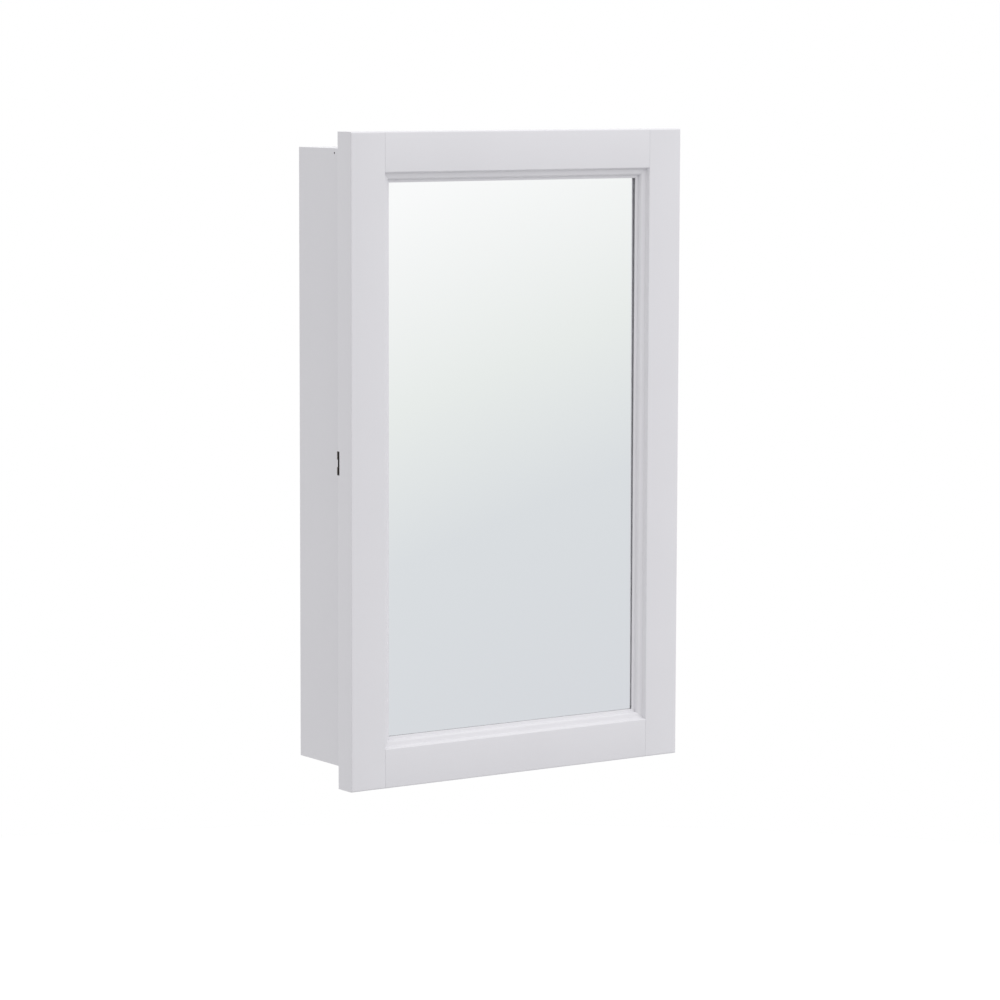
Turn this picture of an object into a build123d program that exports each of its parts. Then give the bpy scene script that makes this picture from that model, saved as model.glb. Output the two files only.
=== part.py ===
from build123d import *

import os

# A wall-hung medicine cabinet with one framed mirror door, every piece a solid of its own.
#
# Millimetres. X runs to the right of someone facing the door, Y runs from the room into the wall and Z
# is up. The origin is the centre of the cabinet's back, on the wall, so everything stands at negative Y.
# The case is a shallow box of painted board. The door overhangs it on all four sides, hangs on two hinges
# on the right and is pulled open by a small metal pull let into its left edge.

# Overall size, over the closed door
door_width = 406.4
door_height = 660.4
total_depth = 127.0

# Door against case
door_thickness = 25.4
door_overhang = 17.5
door_gap = 2.0

# Door frame members: a flat face, then a moulding that steps down to the mirror
face_width = 40.0
quirk_width = 1.8
quirk_depth = 4.5
flat_width = 3.0
flat_fall = 0.8
ovolo_width = 3.2
ovolo_depth = 4.2
lip_width = 2.8
lip_fall = 0.5
lip_thickness = 1.4
rebate_width = 8.0
front_arris = 1.5
back_arris = 0.8
sticking_arris = 0.6
dowel_diameter = 8.0
dowel_length = 44.0
dowel_inset = 11.5
dowel_spacing = 20.0
dowel_depth = 16.0
dowel_slack = 0.05

# Mirror, its backing board and the beads that hold both
glass_thickness = 3.0
backing_thickness = 3.0
pane_clearance = 1.0
bead_width = 10.0
bead_recess = 0.4
bead_round = 2.0

# Case
side_thickness = 12.0
end_thickness = 9.5
back_thickness = 3.0
back_rebate = 6.0
back_clearance = 0.25
case_arris = 0.6
hanging_rail_height = 45.0
hanging_rail_thickness = 12.0
hanging_hole_diameter = 5.0
hanging_hole_spacing = 240.0
hanging_countersink_diameter = 10.0
hanging_countersink_depth = 2.5

# Shelves and the pegs that carry them, with the rows of peg holes below each shelf's pegs
shelf_thickness = 9.5
shelf_side_clearance = 0.6
shelf_setback = 8.0
shelf_back_clearance = 1.0
shelf_nose = 2.0
peg_diameter = 5.0
peg_insert = 8.0
peg_hole_depth = 8.6
peg_slack = 0.05
peg_collar_diameter = 7.6
peg_collar_thickness = 0.9
peg_tab_length = 8.5
peg_tab_width = 8.0
peg_tab_thickness = 1.6
peg_tab_round = 2.5
peg_pitch = 32.0
peg_rows = 11
peg_column_inset = 21.5
upper_shelf_peg_rows = 8
lower_shelf_peg_rows = 2

# Hinges, whose two leaves nest in one thickness
hinge_height = 50.0
hinge_leaf_thickness = 1.6
hinge_inner_height = 26.0
hinge_nest_gap = 0.4
hinge_strip_width = 8.5
hinge_leaf_round = 2.5
knuckle_diameter = 5.5
knuckle_clearance = 0.35
knuckle_end_gap = 0.2
hinge_pin_diameter = 2.6
hinge_pin_slack = 0.05
hinge_pin_head_diameter = 4.4
hinge_pin_head_height = 1.2
hinge_end_distance = 100.0

# Magnetic catch, inside the case on the left, and its strike on the door
catch_length = 46.0
catch_body_length = 24.0
catch_width = 13.0
catch_depth = 15.0
catch_wing_thickness = 3.0
catch_setback = 0.6
catch_round = 1.2
catch_wing_round = 2.4
magnet_thickness = 4.0
magnet_length = 18.0
magnet_depth = 9.0
pole_thickness = 1.2
pole_length = 20.0
pole_depth = 11.0
catch_slack = 0.15
catch_air_gap = 0.15
strike_length = 38.0
strike_width = 12.0
strike_thickness = 1.2
strike_round = 3.0

# Edge pull
pull_height = 24.0
pull_plate_width = 13.5
pull_thickness = 1.4
pull_lip_width = 3.0
pull_scoop_height = 7.6
pull_scoop_depth = 3.4
pull_scoop_round = 1.7
pull_round = 2.8

# Door bumpers
bumper_diameter = 8.0
bumper_air_gap = 0.3
bumper_inset = 22.0
bumper_round = 0.6

# Fasteners: shank diameter, head diameter and length. A tip's width and a recess's width are shares of
# the shank's diameter, and a recess's length and depth are shares of the head's.
nail_diameter = 1.6
nail_head_diameter = 2.2
nail_length = 34.0
nail_sink = 0.6
nail_back_inset = 16.0
nail_front_inset = 31.5
brad_diameter = 1.2
brad_head_diameter = 2.0
brad_head_thickness = 0.4
back_brad_length = 14.0
back_brad_inset = 3.0
back_brad_end_distance = 60.0
back_brads_per_side = 5
back_brads_per_end = 3
bead_brad_length = 18.0
bead_brad_end_distance = 45.0
bead_brads_per_upright = 4
bead_brads_per_cross_member = 3
hinge_screw_diameter = 2.5
hinge_screw_head_diameter = 5.0
hinge_screw_length = 15.0
small_screw_diameter = 2.2
small_screw_head_diameter = 4.2
small_screw_length = 10.0
catch_screw_diameter = 2.8
catch_screw_head_diameter = 5.4
catch_screw_length = 11.0
fastener_slack = 0.03
tip_share = 0.25
screw_recess_share = 0.5
screw_recess_width_share = 0.25
screw_recess_depth_share = 0.6

# Planes and edges that follow from the sizes above
left, right = -1, 1
case_width = door_width - 2 * door_overhang
case_height = door_height - 2 * door_overhang
case_front = -(total_depth - door_thickness - door_gap)
door_back = -(total_depth - door_thickness)
door_front = -total_depth
case_inner_half = case_width / 2 - side_thickness
end_panel_centre = case_height / 2 - end_thickness / 2
member_width = face_width + quirk_width + flat_width + ovolo_width + lip_width
ovolo_foot_depth = quirk_depth + flat_fall + ovolo_depth
lip_front_depth = ovolo_foot_depth + lip_fall
mirror_depth = lip_front_depth + lip_thickness
rebate_wall = member_width - rebate_width
pane_half_width = door_width / 2 - rebate_wall - pane_clearance
pane_half_height = door_height / 2 - rebate_wall - pane_clearance
mirror_front = door_front + mirror_depth
backing_front = mirror_front + glass_thickness
bead_front = backing_front + backing_thickness
bead_back = door_back - bead_recess
hinge_x = case_width / 2 + knuckle_clearance + knuckle_diameter / 2
hinge_y = door_back + knuckle_clearance + knuckle_diameter / 2
case_edge_x = case_width / 2 - side_thickness / 2
hinge_height_from_centre = case_height / 2 - hinge_end_distance
hinge_bore_diameter = hinge_pin_diameter + 2 * hinge_pin_slack
catch_x = -case_inner_half + catch_width / 2
catch_front = case_front + catch_setback
pole_front = door_back + strike_thickness + catch_air_gap


def block(x, y, z):
    """A box from its (low, high) pairs."""
    centre = Pos((x[0] + x[1]) / 2, (y[0] + y[1]) / 2, (z[0] + z[1]) / 2)
    return centre * Box(x[1] - x[0], y[1] - y[0], z[1] - z[0])


def rod(start, direction, radius, length):
    """A cylinder that starts at a point and runs along a direction."""
    plane = Plane(origin=start, z_dir=direction)
    return plane * Cylinder(radius, length, align=(Align.CENTER, Align.CENTER, Align.MIN))


def cone(start, direction, start_radius, end_radius, length):
    """A cone or pointed tip that starts at a point and runs along a direction."""
    plane = Plane(origin=start, z_dir=direction)
    return plane * Cone(start_radius, end_radius, length, align=(Align.CENTER, Align.CENTER, Align.MIN))


def point(start, direction, diameter, length, slack):
    """The blunt point at the end of a screw or nail of a given length that starts at a point."""
    tip_start = Vector(*start) + Vector(*direction) * (length - diameter)
    end_radius = tip_share * diameter / 2
    return cone(tip_start, direction, diameter / 2 + slack, end_radius + slack, diameter)


def screw(start, direction, diameter, head_diameter, length, slack=0.0):
    """A countersunk wood screw whose flat head lies at start. With slack it is the hole for one."""
    head = (head_diameter - diameter) / 2
    neck = Vector(*start) + Vector(*direction) * head
    body = cone(start, direction, head_diameter / 2 + slack, diameter / 2 + slack, head)
    body += rod(neck, direction, diameter / 2 + slack, length - head - diameter)
    body += point(start, direction, diameter, length, slack)
    if slack:
        return body
    slot = Box(
        screw_recess_share * head_diameter,
        screw_recess_width_share * diameter,
        2 * screw_recess_depth_share * head,
    )
    face = Plane(origin=start, z_dir=direction)
    for turn in (0, 90):
        body -= face * Rot(0, 0, turn) * slot
    return body


def nail(start, direction, diameter, head_diameter, head_thickness, length, slack=0.0):
    """A nail whose head lies at start. With slack it is the hole for one."""
    body = rod(start, direction, head_diameter / 2 + slack, head_thickness + slack)
    body += rod(start, direction, diameter / 2 + slack, length - diameter)
    return body + point(start, direction, diameter, length, slack)


def group(solids):
    """Separate solids that share one node."""
    return Compound(children=list(solids))


def cut_all(body, cutters):
    """The body with every cutter taken out."""
    for cutter in cutters:
        body -= cutter
    return body


def brad(start, direction, length, slack):
    """A small nail with a flat head."""
    return nail(start, direction, brad_diameter, brad_head_diameter, brad_head_thickness, length, slack)


def spread(count, reach):
    """Evenly spaced positions from minus reach to reach."""
    return [(2 * step / (count - 1) - 1) * reach for step in range(count)]


def case_nail_places():
    """Start and direction of the nails through the sides into top and bottom, heads just under the face."""
    for side in (left, right):
        for end in (-1, 1):
            for y in (-nail_back_inset, case_front + nail_front_inset):
                start = (side * (case_width / 2 - nail_sink), y, end * end_panel_centre)
                yield start, (-side, 0, 0)


def case_nail(place, slack=0.0):
    start, direction = place
    return nail(start, direction, nail_diameter, nail_head_diameter, nail_diameter / 2, nail_length, slack)


def bare_nail_mouth():
    """The hole over the one head that isn't filled: left side, at the top, towards the front."""
    place = (-case_width / 2, case_front + nail_front_inset, end_panel_centre)
    return rod(place, (1, 0, 0), nail_head_diameter / 2 + fastener_slack, nail_sink)


def back_brad_places():
    """Where brads hold the back panel, along its four edges, in the sides and the two end panels."""
    x_edge = case_inner_half + back_rebate - back_brad_inset
    for side in (left, right):
        for z in spread(back_brads_per_side, case_height / 2 - back_brad_end_distance):
            yield side * x_edge, z
    for end in (-1, 1):
        for x in spread(back_brads_per_end, case_inner_half - back_brad_end_distance):
            yield x, end * end_panel_centre


def back_brad(place, slack=0.0):
    x, z = place
    return brad((x, 0, z), (0, -1, 0), back_brad_length, slack)


def peg_hole_height(row):
    return (row - (peg_rows - 1) / 2) * peg_pitch


def peg_columns():
    """The front and rear columns of peg holes lie the same way in from the case's front and back."""
    return (case_front + peg_column_inset, -peg_column_inset)


def shelf_underside(row):
    return peg_hole_height(row) + peg_diameter / 2


def side_panel(side, extra_holes):
    """A full-height side with a rebate for the back, two columns of peg holes and nail holes."""
    outer = side * case_width / 2
    inner = side * case_inner_half
    panel = block(sorted((outer, inner)), (case_front, 0), (-case_height / 2, case_height / 2))
    outer_edges = panel.edges().filter_by(Axis.Z).group_by(Axis.Y)
    panel = fillet(outer_edges[0] + outer_edges[-1], case_arris)
    rebate_x = sorted((inner, inner + side * back_rebate))
    panel -= block(rebate_x, (-back_thickness, 0), (-case_height / 2, case_height / 2))
    for row in range(peg_rows):
        for y in peg_columns():
            start = (inner, y, peg_hole_height(row))
            panel -= rod(start, (side, 0, 0), peg_diameter / 2 + peg_slack, peg_hole_depth)
    own_nails = [place for place in case_nail_places() if place[0][0] * side > 0]
    panel = cut_all(panel, [case_nail(place, fastener_slack) for place in own_nails])
    if side == left:
        panel -= bare_nail_mouth()
    own_brads = [place for place in back_brad_places() if place[0] * side > case_inner_half]
    panel = cut_all(panel, [back_brad(place, fastener_slack) for place in own_brads])
    return cut_all(panel, extra_holes)


def end_panel(end):
    """The top (end 1) or bottom (end -1) of the case, between the sides."""
    z = sorted((end * case_height / 2, end * (case_height / 2 - end_thickness)))
    panel = block((-case_inner_half, case_inner_half), (case_front, -back_thickness), z)
    panel = fillet(panel.edges().filter_by(Axis.X).group_by(Axis.Y)[0], case_arris)
    nails = [case_nail(place, fastener_slack) for place in case_nail_places() if place[0][2] * end > 0]
    own_brads = [place for place in back_brad_places() if place[1] == end * end_panel_centre]
    brads = [back_brad(place, fastener_slack) for place in own_brads]
    return cut_all(panel, nails + brads)


def hanging_hole_places():
    z = case_height / 2 - end_thickness - hanging_rail_height / 2
    for side in (left, right):
        for end in (-1, 1):
            yield side * hanging_hole_spacing / 2, end * z


def hanging_hole(place, countersunk):
    """A screw hole through to the wall, countersunk on the face inside the case."""
    x, z = place
    depth = back_thickness + hanging_rail_thickness
    hole = rod((x, 0, z), (0, -1, 0), hanging_hole_diameter / 2, depth)
    if countersunk:
        start = (x, -depth, z)
        wide, narrow = hanging_countersink_diameter / 2, hanging_hole_diameter / 2
        hole += cone(start, (0, 1, 0), wide, narrow, hanging_countersink_depth)
    return hole


def back_panel():
    """Thin board in the sides' rebates, over the ends of the top and bottom panels."""
    half = case_inner_half + back_rebate - back_clearance
    panel = block((-half, half), (-back_thickness, 0), (-case_height / 2, case_height / 2))
    panel = cut_all(panel, [hanging_hole(place, False) for place in hanging_hole_places()])
    return cut_all(panel, [back_brad(place, fastener_slack) for place in back_brad_places()])


def hanging_rail(end):
    """The rail that the wall screws go through, under the top or over the bottom."""
    far = case_height / 2 - end_thickness
    z = sorted((end * far, end * (far - hanging_rail_height)))
    y = (-back_thickness - hanging_rail_thickness, -back_thickness)
    rail = block((-case_inner_half, case_inner_half), y, z)
    rail = fillet(rail.edges().filter_by(Axis.X).group_by(Axis.Y)[0], case_arris)
    holes = [hanging_hole(place, True) for place in hanging_hole_places() if place[1] * end > 0]
    return cut_all(rail, holes)


def shelf(row):
    """A loose shelf on four pegs."""
    half = case_inner_half - shelf_side_clearance
    low = shelf_underside(row)
    y = (case_front + shelf_setback, -back_thickness - shelf_back_clearance)
    board = block((-half, half), y, (low, low + shelf_thickness))
    return fillet(board.edges().filter_by(Axis.X).group_by(Axis.Y)[0], shelf_nose)


def shelf_peg(side, y, row):
    """A round peg in the side panel with a flat tab under the shelf."""
    face = side * case_inner_half
    z = peg_hole_height(row)
    top = shelf_underside(row)
    length = peg_insert + peg_collar_thickness
    peg = rod((face + side * peg_insert, y, z), (-side, 0, 0), peg_diameter / 2, length)
    collar = rod((face, y, z), (-side, 0, 0), peg_collar_diameter / 2, peg_collar_thickness)
    reach = peg_collar_diameter
    collar -= block((face - reach, face + reach), (y - reach, y + reach), (top, top + reach))
    x = sorted((face, face - side * peg_tab_length))
    tab = block(x, (y - peg_tab_width / 2, y + peg_tab_width / 2), (top - peg_tab_thickness, top))
    tip = tab.edges().filter_by(Axis.Z).sort_by(Axis.X)
    tab = fillet(tip[:2] if side == right else tip[-2:], peg_tab_round)
    return peg + collar + tab


def shelf_pegs(row):
    return group(shelf_peg(side, y, row) for side in (left, right) for y in peg_columns())


def member_section(arris):
    """Cross-section of a frame member: x from its outer edge inwards, y from 0 at the front to minus.

    The flat face ends at a steep quirk. A narrow flat follows, then a quarter-ellipse ovolo falls to the
    lip, which slopes a little to the mirror. A rebate behind the lip holds mirror, backing and beads.
    """
    quirk_foot = face_width + quirk_width
    flat_end = quirk_foot + flat_width
    ovolo_end = flat_end + ovolo_width
    start = (0, -door_thickness)
    ovolo_top = (flat_end, -quirk_depth - flat_fall)
    outline = [
        Polyline(start, (0, 0), (face_width, 0), (quirk_foot, -quirk_depth), ovolo_top),
        EllipticalCenterArc((flat_end, -ovolo_foot_depth), ovolo_width, ovolo_depth, 90, arc_size=-90),
        Polyline(
            (ovolo_end, -ovolo_foot_depth),
            (member_width, -lip_front_depth),
            (member_width, -mirror_depth),
            (rebate_wall, -mirror_depth),
            (rebate_wall, -door_thickness),
            start,
        ),
    ]
    section = make_face(outline)
    if not arris:
        return section
    corner = section.vertices().sort_by_distance((face_width, 0))[0]
    return fillet(corner, arris)


def door_block():
    """The whole door's envelope with its outer arrises eased, which every member is trimmed to."""
    x, z = (-door_width / 2, door_width / 2), (-door_height / 2, door_height / 2)
    whole = block(x, (door_front, door_back), z)
    whole = fillet(whole.faces().sort_by(Axis.Y)[0].edges(), front_arris)
    return fillet(whole.faces().sort_by(Axis.Y)[-1].edges(), back_arris)


def stile(side, arris):
    """A full-height upright of the door frame."""
    corner = (side * door_width / 2, door_front, -door_height / 2)
    plane = Plane(origin=corner, x_dir=(-side, 0, 0), z_dir=(0, 0, side))
    return extrude(plane * member_section(arris), side * door_height)


def rail(end, stile_cutters):
    """A cross member between the stiles, coped over their mouldings."""
    half = door_width / 2 - face_width
    plane = Plane(origin=(-half, door_front, end * door_height / 2), x_dir=(0, 0, -end), z_dir=(-end, 0, 0))
    whole = extrude(plane * member_section(sticking_arris), -end * 2 * half)
    return cut_all(whole, stile_cutters)


def dowel_places():
    """Start and direction of the dowels that join stiles to rails, two to a corner, from the stile."""
    inner = door_width / 2 - rebate_wall
    for side in (left, right):
        for end in (-1, 1):
            for step in (0, 1):
                z = door_height / 2 - dowel_inset - step * dowel_spacing
                yield (side * (inner + dowel_length / 2), door_front + dowel_depth, end * z), (-side, 0, 0)


def dowel(place, slack=0.0):
    start, direction = place
    beyond = Vector(*start) - Vector(*direction) * slack
    return rod(beyond, direction, dowel_diameter / 2 + slack, dowel_length + 2 * slack)


def bead_brad_places():
    """Start and direction of the brads through the beads into the frame, from each bead's open side."""
    y = (bead_front + bead_back) / 2
    x = door_width / 2 - rebate_wall - bead_width
    z = door_height / 2 - rebate_wall - bead_width
    for side in (left, right):
        for height in spread(bead_brads_per_upright, z - bead_brad_end_distance):
            yield (side * x, y, height), (side, 0, 0)
        for across in spread(bead_brads_per_cross_member, x - bead_brad_end_distance):
            yield (across, y, side * z), (0, 0, side)


def bead_brad(place, slack=0.0):
    start, direction = place
    return brad(start, direction, bead_brad_length, slack)


def bead(direction):
    """A mitred strip along one edge of the rebate, behind the mirror's backing, named by its direction."""
    x_out = door_width / 2 - rebate_wall
    z_out = door_height / 2 - rebate_wall
    x_in, z_in = x_out - bead_width, z_out - bead_width
    if direction[0]:
        side = direction[0]
        corners = [(side * x_out, -z_out), (side * x_out, z_out), (side * x_in, z_in), (side * x_in, -z_in)]
        along, inner_end = Axis.Z, Axis.X
    else:
        side = direction[1]
        corners = [(-x_out, side * z_out), (x_out, side * z_out), (x_in, side * z_in), (-x_in, side * z_in)]
        along, inner_end = Axis.X, Axis.Z
    plane = Plane(origin=(0, bead_front, 0), x_dir=(1, 0, 0), z_dir=(0, -1, 0))
    strip = extrude(plane * make_face(Polyline(*corners, close=True)), -(bead_back - bead_front))
    inner_edges = strip.edges().filter_by(along).group_by(Axis.Y)[-1].sort_by(inner_end)
    strip = fillet(inner_edges[0] if side > 0 else inner_edges[-1], bead_round)
    own = [place for place in bead_brad_places() if place[1] == (direction[0], 0, direction[1])]
    return cut_all(strip, [bead_brad(place, fastener_slack) for place in own])


def pane(front, thickness):
    """The mirror glass or its backing board."""
    x, z = (-pane_half_width, pane_half_width), (-pane_half_height, pane_half_height)
    return block(x, (front, front + thickness), z)


def hinge_rod(diameter, low, high):
    """A rod on the hinge's axis."""
    return rod((hinge_x, hinge_y, low), (0, 0, 1), diameter / 2, high - low)


def hinge_case_leaf(z):
    """The inner leaf: a plate on the side panel's front edge and the middle knuckle."""
    half = hinge_inner_height / 2
    low_y = case_front - hinge_leaf_thickness
    plate = block((case_width / 2 - side_thickness, hinge_x), (low_y, case_front), (z - half, z + half))
    knuckle = hinge_rod(knuckle_diameter, z - half, z + half)
    return plate + knuckle - hinge_rod(hinge_bore_diameter, z - half, z + half)


def hinge_door_leaf(z):
    """The outer leaf: a frame on the door's back that the inner leaf nests in, and two end knuckles."""
    window_half = hinge_inner_height / 2 + hinge_nest_gap
    inner_x = case_width / 2 - side_thickness
    far_x = inner_x - hinge_nest_gap - hinge_strip_width
    half = hinge_height / 2
    y = (door_back, door_back + hinge_leaf_thickness)
    leaf = block((far_x, hinge_x), y, (z - half, z + half))
    leaf = fillet(leaf.edges().filter_by(Axis.Y).group_by(Axis.X)[0], hinge_leaf_round)
    leaf -= block((inner_x - hinge_nest_gap, hinge_x), y, (z - window_half, z + window_half))
    reach = half - hinge_inner_height / 2 - knuckle_end_gap
    for start in (z - half, z + half - reach):
        leaf += hinge_rod(knuckle_diameter, start, start + reach)
    window_x = (inner_x - hinge_nest_gap, hinge_x + knuckle_diameter)
    end_half = hinge_inner_height / 2 + knuckle_end_gap
    leaf -= block(window_x, (door_back, hinge_y + knuckle_diameter), (z - end_half, z + end_half))
    return leaf - hinge_rod(hinge_bore_diameter, z - half, z + half)


def hinge_pin(z):
    """A pin with a low head at each end."""
    half = hinge_height / 2
    pin = hinge_rod(hinge_pin_diameter, z - half, z + half)
    wide, narrow = hinge_pin_head_diameter / 2, hinge_pin_diameter / 2
    for end in (-1, 1):
        start = (hinge_x, hinge_y, z + end * half)
        pin += cone(start, (0, 0, end), wide, narrow, hinge_pin_head_height)
    return pin


def hinge_screw_places():
    """(start, direction) of the screws into the door, then of those into the case's front edge."""
    arm = (hinge_height / 2 + hinge_inner_height / 2 + hinge_nest_gap) / 2
    strip_x = case_width / 2 - side_thickness - hinge_nest_gap - hinge_strip_width / 2
    door_face = door_back + hinge_leaf_thickness
    case_face = case_front - hinge_leaf_thickness
    on_door, on_case = [], []
    for z in (-hinge_height_from_centre, hinge_height_from_centre):
        on_door += [((case_edge_x, door_face, z + end * arm), (0, -1, 0)) for end in (-1, 1)]
        on_door.append(((strip_x, door_face, z), (0, -1, 0)))
        reach = hinge_inner_height / 4
        on_case += [((case_edge_x, case_face, z + end * reach), (0, 1, 0)) for end in (-1, 1)]
    return on_door, on_case


def hinge_screw(place, slack=0.0):
    start, direction = place
    diameter, head = hinge_screw_diameter, hinge_screw_head_diameter
    return screw(start, direction, diameter, head, hinge_screw_length, slack)


def catch_screw_places():
    z = (catch_length + catch_body_length) / 4
    y = catch_front + catch_depth / 2
    x = -case_inner_half + catch_wing_thickness
    return [((x, y, end * z), (-1, 0, 0)) for end in (-1, 1)]


def catch_screw(place, slack=0.0):
    start, direction = place
    diameter, head = catch_screw_diameter, catch_screw_head_diameter
    return screw(start, direction, diameter, head, catch_screw_length, slack)


def catch_case():
    """The catch's moulded case: a pocket for the magnet and a thin screw wing at each end."""
    face = -case_inner_half
    y = (catch_front, catch_front + catch_depth)
    wings = block((face, face + catch_wing_thickness), y, (-catch_length / 2, catch_length / 2))
    wings = fillet(wings.edges().filter_by(Axis.X), catch_wing_round)
    body = block((face, face + catch_width), y, (-catch_body_length / 2, catch_body_length / 2))
    body = fillet(body.edges().filter_by(Axis.Y).group_by(Axis.X)[-1], catch_round)
    half_x = magnet_thickness / 2 + pole_thickness + catch_slack
    half_z = pole_length / 2 + catch_slack
    pocket_back = pole_front + pole_depth + catch_slack
    pocket = block((catch_x - half_x, catch_x + half_x), (catch_front, pocket_back), (-half_z, half_z))
    holes = [catch_screw(place, fastener_slack) for place in catch_screw_places()]
    return cut_all(wings + body - pocket, holes)


def catch_magnet():
    """A block magnet between the poles, short of their front ends."""
    start = pole_front + pole_depth - magnet_depth
    x = (catch_x - magnet_thickness / 2, catch_x + magnet_thickness / 2)
    return block(x, (start, start + magnet_depth), (-magnet_length / 2, magnet_length / 2))


def catch_pole(side):
    """A steel plate on one face of the magnet, which stops just short of the strike on the closed door."""
    face = catch_x + side * magnet_thickness / 2
    x = sorted((face, face + side * pole_thickness))
    return block(x, (pole_front, pole_front + pole_depth), (-pole_length / 2, pole_length / 2))


def strike_screw_places():
    z = strike_length / 2 - strike_width / 2
    return [((catch_x, door_back + strike_thickness, end * z), (0, -1, 0)) for end in (-1, 1)]


def small_screw(place, slack=0.0):
    start, direction = place
    diameter, head = small_screw_diameter, small_screw_head_diameter
    return screw(start, direction, diameter, head, small_screw_length, slack)


def strike_plate():
    """The steel plate on the door's back that the magnet pulls on."""
    x = (catch_x - strike_width / 2, catch_x + strike_width / 2)
    plate = block(x, (door_back, door_back + strike_thickness), (-strike_length / 2, strike_length / 2))
    plate = fillet(plate.edges().filter_by(Axis.Y), strike_round)
    return cut_all(plate, [small_screw(place, fastener_slack) for place in strike_screw_places()])


def pull_screw_places():
    x = -door_width / 2 + (pull_plate_width + pull_scoop_depth) / 2
    z = pull_height / 2 - small_screw_head_diameter
    return [((x, door_back + pull_thickness, end * z), (0, -1, 0)) for end in (-1, 1)]


def pull_lip(slack=0.0):
    """The part of the pull that is let into the door's edge. With slack it is the notch for it."""
    edge = -door_width / 2
    half = pull_height / 2 + slack
    y = (door_back - pull_lip_width - slack, door_back)
    return block((edge, edge + pull_thickness + slack), y, (-half, half))


def edge_pull():
    """A small angle of dark metal on the door's back edge, its middle third scooped for a fingertip."""
    edge = -door_width / 2
    plate_y = (door_back, door_back + pull_thickness)
    plate = block((edge, edge + pull_plate_width), plate_y, (-pull_height / 2, pull_height / 2))
    plate = fillet(plate.edges().filter_by(Axis.Y).group_by(Axis.X)[-1], pull_round)
    scoop = block((edge, edge + pull_scoop_depth), plate_y, (-pull_scoop_height / 2, pull_scoop_height / 2))
    scoop = fillet(scoop.edges().filter_by(Axis.Y).group_by(Axis.X)[-1], pull_scoop_round)
    whole = plate + pull_lip() - scoop
    return cut_all(whole, [small_screw(place, fastener_slack) for place in pull_screw_places()])


def door_bumpers():
    """Soft discs on the door's back that meet the case's left front edge."""
    height = door_gap - bumper_air_gap
    radius = bumper_diameter / 2
    z = case_height / 2 - bumper_inset
    discs = [rod((-case_edge_x, door_back, end * z), (0, 1, 0), radius, height) for end in (-1, 1)]
    return group(fillet(disc.edges().group_by(Axis.Y)[-1], bumper_round) for disc in discs)


def build():
    """Every node by name."""
    door_screws, case_screws = hinge_screw_places()
    door_screw_holes = [hinge_screw(place, fastener_slack) for place in door_screws]
    case_screw_holes = [hinge_screw(place, fastener_slack) for place in case_screws]
    catch_holes = [catch_screw(place, fastener_slack) for place in catch_screw_places()]
    strike_holes = [small_screw(place, fastener_slack) for place in strike_screw_places()]
    pull_holes = [small_screw(place, fastener_slack) for place in pull_screw_places()]
    dowel_holes = [dowel(place, dowel_slack) for place in dowel_places()]
    brad_holes = [bead_brad(place, fastener_slack) for place in bead_brad_places()]

    envelope = door_block()
    cutters = [stile(left, 0), stile(right, 0)]
    latch_stile = (stile(left, sticking_arris) & envelope) - pull_lip(fastener_slack)
    hinge_stile = stile(right, sticking_arris) & envelope
    top_rail = rail(1, cutters) & envelope
    bottom_rail = rail(-1, cutters) & envelope

    def drilled(member, holes):
        """The member with the holes that reach it."""
        size = member.bounding_box()
        near = [hole for hole in holes if hole.bounding_box().overlaps(size)]
        return cut_all(member, near)

    nodes = {
        "side_panel_left": side_panel(left, catch_holes),
        "side_panel_right": side_panel(right, case_screw_holes),
        "top_panel": end_panel(1),
        "bottom_panel": end_panel(-1),
        "back_panel": back_panel(),
        "hanging_rail_upper": hanging_rail(1),
        "hanging_rail_lower": hanging_rail(-1),
        "shelf_upper": shelf(upper_shelf_peg_rows),
        "shelf_lower": shelf(lower_shelf_peg_rows),
        "shelf_pegs_upper": shelf_pegs(upper_shelf_peg_rows),
        "shelf_pegs_lower": shelf_pegs(lower_shelf_peg_rows),
        "case_nails": group(case_nail(place) for place in case_nail_places()),
        "back_panel_brads": group(back_brad(place) for place in back_brad_places()),
        "catch_case": catch_case(),
        "catch_magnet": catch_magnet(),
        "catch_pole_plates": group(catch_pole(side) for side in (left, right)),
        "catch_screws": group(catch_screw(place) for place in catch_screw_places()),
        "hinge_case_screws": group(hinge_screw(place) for place in case_screws),
        "hinge_door_screws": group(hinge_screw(place) for place in door_screws),
        "latch_stile": drilled(latch_stile, dowel_holes + brad_holes + strike_holes + pull_holes),
        "hinge_stile": drilled(hinge_stile, dowel_holes + brad_holes + door_screw_holes),
        "top_rail": drilled(top_rail, dowel_holes + brad_holes),
        "bottom_rail": drilled(bottom_rail, dowel_holes + brad_holes),
        "frame_dowels": group(dowel(place) for place in dowel_places()),
        "mirror_glass": pane(mirror_front, glass_thickness),
        "mirror_backing": pane(backing_front, backing_thickness),
        "bead_left": bead((-1, 0)),
        "bead_right": bead((1, 0)),
        "bead_top": bead((0, 1)),
        "bead_bottom": bead((0, -1)),
        "bead_brads": group(bead_brad(place) for place in bead_brad_places()),
        "strike_plate": strike_plate(),
        "strike_screws": group(small_screw(place) for place in strike_screw_places()),
        "edge_pull": edge_pull(),
        "edge_pull_screws": group(small_screw(place) for place in pull_screw_places()),
        "door_bumpers": door_bumpers(),
    }
    for name, z in (("lower", -hinge_height_from_centre), ("upper", hinge_height_from_centre)):
        nodes[f"hinge_{name}_case_leaf"] = drilled(hinge_case_leaf(z), case_screw_holes)
        nodes[f"hinge_{name}_door_leaf"] = drilled(hinge_door_leaf(z), door_screw_holes)
        nodes[f"hinge_{name}_pin"] = hinge_pin(z)
    return nodes


os.makedirs("parts", exist_ok=True)
for node, shape in build().items():
    export_step(shape, f"parts/{node}.step")
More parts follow.
